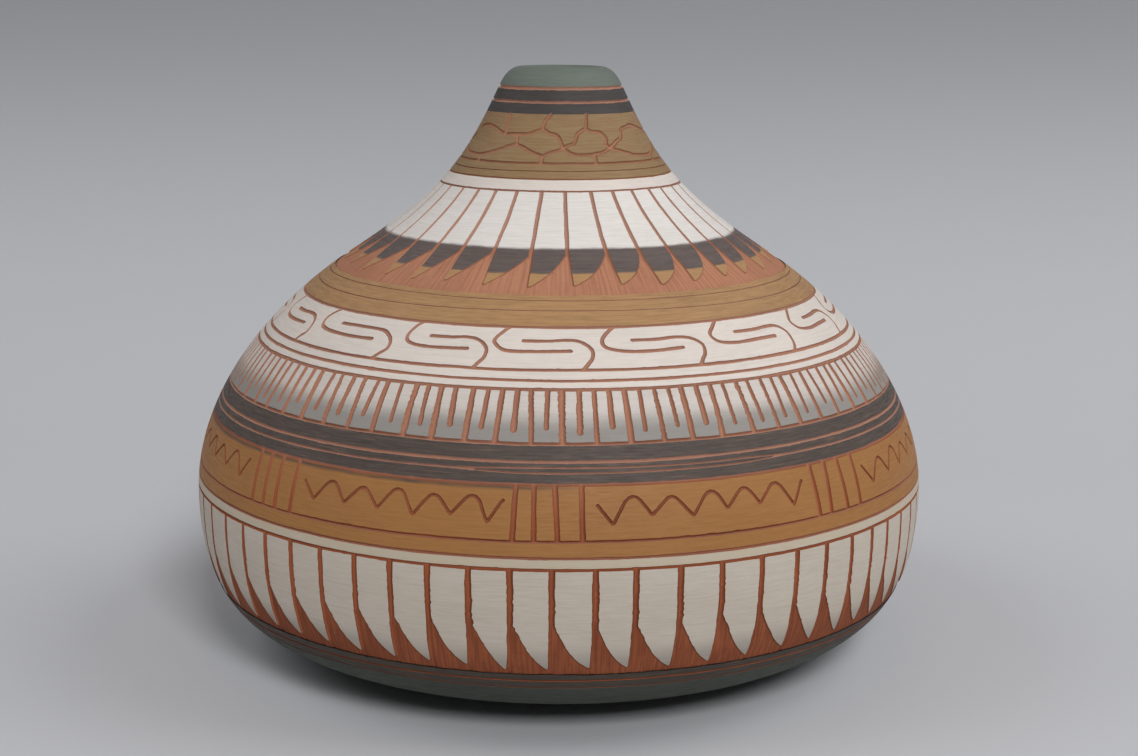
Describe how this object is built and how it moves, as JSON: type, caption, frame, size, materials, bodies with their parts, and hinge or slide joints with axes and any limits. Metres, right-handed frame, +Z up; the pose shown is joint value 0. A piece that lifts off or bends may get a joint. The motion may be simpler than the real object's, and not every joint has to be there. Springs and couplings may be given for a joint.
{
  "type": "carved pottery vase",
  "caption": "Squat round-bellied hollow pottery vase with a narrow neck and rolled lip, ringed with carved bands of coloured slip over bare clay.",
  "frame": {"origin": "centre of the flat foot, on the surface that the vase stands on", "axes": "+Z up along the axis of the wheel, from the foot to the mouth; -Y is the side that faces the viewer"},
  "size_m": [0.1898, 0.1898, 0.15],
  "materials": {
    "fired_clay": "unglazed matt terracotta, carved",
    "green_slip": "matt grey-green slip",
    "dark_slip": "matt charcoal slip",
    "tan_slip": "matt tan slip",
    "white_slip": "matt white slip with fine turning streaks",
    "cream_slip": "matt cream slip",
    "ochre_slip": "matt ochre slip"
  },
  "bodies": {
    "root": {"clay_body": "fired_clay", "rim_slip": "green_slip", "neck_dark_ring_upper": "dark_slip", "neck_dark_ring_lower": "dark_slip", "neck_crackle_band": "ochre_slip", "neck_tan_ring": "ochre_slip", "collar_white_ring": "white_slip", "shoulder_feathers": "white_slip", "shoulder_tan_band": "tan_slip", "scroll_band": "white_slip", "white_ring_upper": "white_slip", "white_ring_lower": "white_slip", "comb_band": "white_slip", "belly_dark_ring_upper": "dark_slip", "belly_dark_ring_lower": "dark_slip", "zigzag_band": "ochre_slip", "belly_tan_ring": "ochre_slip", "belly_cream_ring": "cream_slip", "lower_feathers": "white_slip", "base_dark_ring_upper": "dark_slip", "base_dark_ring_lower": "dark_slip", "foot_slip": "green_slip"}
  },
  "joints": []
}
